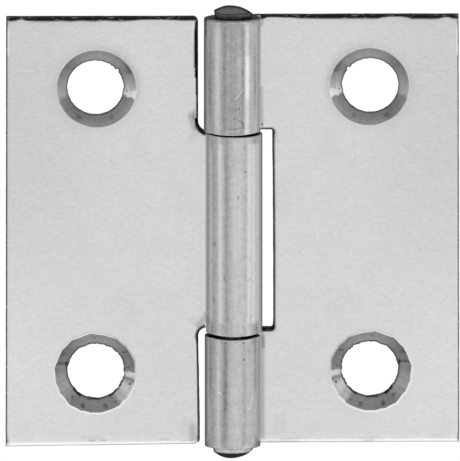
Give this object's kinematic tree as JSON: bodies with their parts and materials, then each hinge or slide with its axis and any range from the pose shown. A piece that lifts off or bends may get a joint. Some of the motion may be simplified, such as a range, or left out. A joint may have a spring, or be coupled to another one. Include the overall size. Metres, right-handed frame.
{
  "type": "butt hinge",
  "caption": "Small steel butt hinge: two flat leaves with countersunk screw holes, rolled into knuckles that turn on a riveted pin.",
  "frame": {"origin": "under the middle of the pin, level with the backs of the leaves, on which the open hinge lies", "axes": "+X across the leaves towards the leaf with two knuckles, +Y along the pin, +Z out of the front"},
  "size_m": [0.04, 0.04, 0.005],
  "materials": {
    "sheet_steel": "satin zinc-plated pressed sheet, finely mottled, with lengthwise drawing marks on the knuckles",
    "pin_steel": "duller zinc-plated wire with riveted heads"
  },
  "bodies": {
    "right_leaf": {"right_leaf": "sheet_steel", "hinge_pin": "pin_steel"},
    "left_leaf": {"left_leaf": "sheet_steel"}
  },
  "joints": [
    {"name": "pin_hinge", "type": "hinge", "parent": "right_leaf", "child": "left_leaf", "pos_m": [0, 0, 0.0025], "axis": [0, 1, 0], "range_deg": [-85, 187]}
  ]
}
